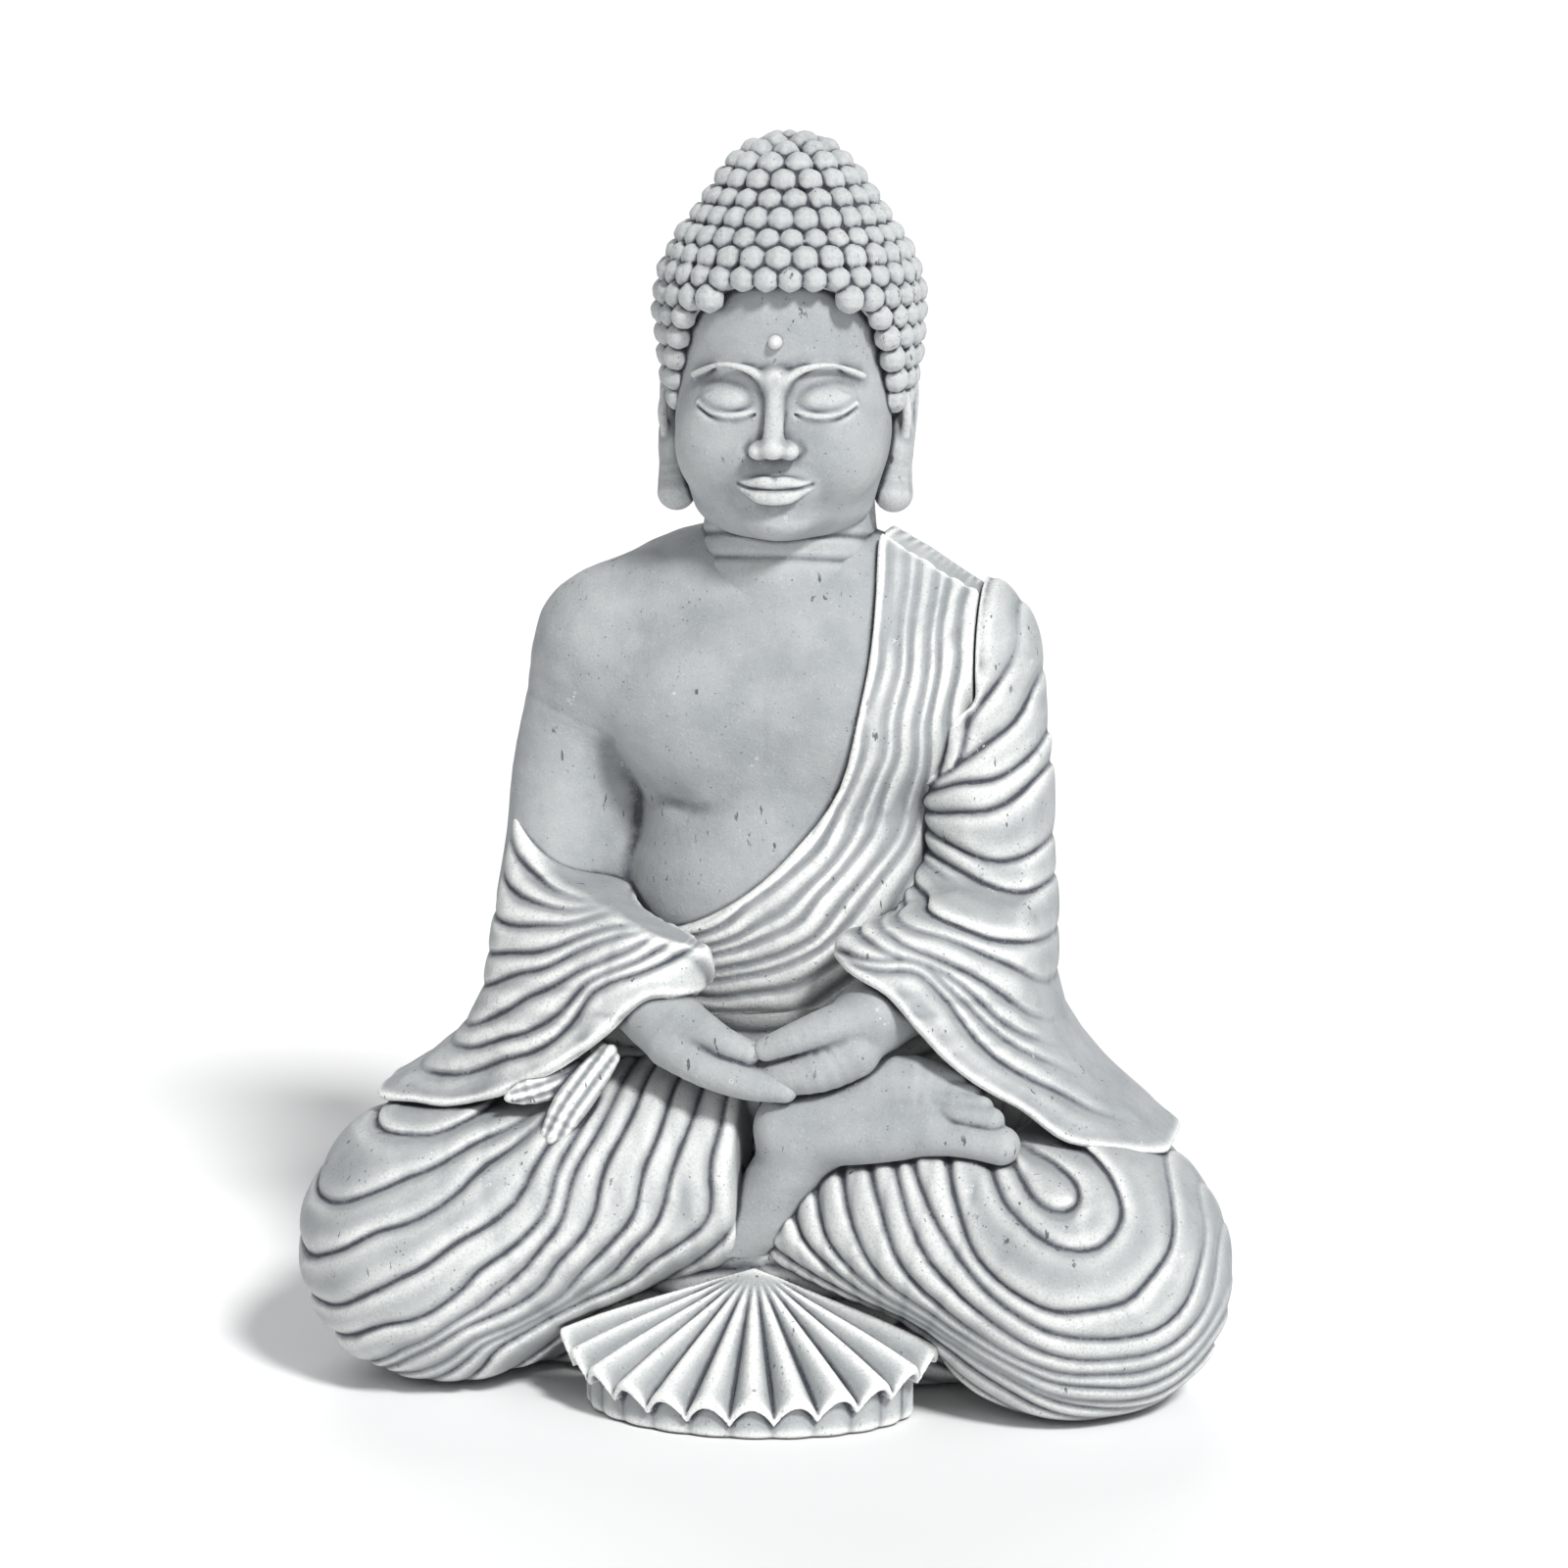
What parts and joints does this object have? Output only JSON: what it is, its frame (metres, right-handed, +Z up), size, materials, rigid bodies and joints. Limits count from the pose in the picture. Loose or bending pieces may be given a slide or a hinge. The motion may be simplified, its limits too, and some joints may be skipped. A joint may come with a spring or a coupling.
{
  "type": "seated buddha statue",
  "caption": "Cast-stone garden statue of a seated, meditating Buddha in a pleated robe, with curled hair and hands in the lap.",
  "frame": {"origin": "on the ground under the middle of the statue", "axes": "+Z up, the face looks along -Y, the figure's own left hand is towards +X"},
  "size_m": [0.4561, 0.2938, 0.6],
  "materials": {
    "cast_stone": "matte, pale dry-brushed grey with a darker wash in the recesses",
    "dowel_steel": "plain bar"
  },
  "bodies": {
    "root": {"hair_cap": "cast_stone", "head": "cast_stone", "urna": "cast_stone", "right_ear": "cast_stone", "left_ear": "cast_stone", "neck": "cast_stone", "neck_dowel": "dowel_steel", "torso": "cast_stone", "robe_sash": "cast_stone", "robe_back": "cast_stone", "under_robe": "cast_stone", "right_sleeve": "cast_stone", "left_sleeve": "cast_stone", "right_hand": "cast_stone", "left_hand": "cast_stone", "right_foot": "cast_stone", "seat": "cast_stone", "right_leg": "cast_stone", "left_leg": "cast_stone", "sash_tails": "cast_stone", "fan_hem": "cast_stone"}
  },
  "joints": []
}
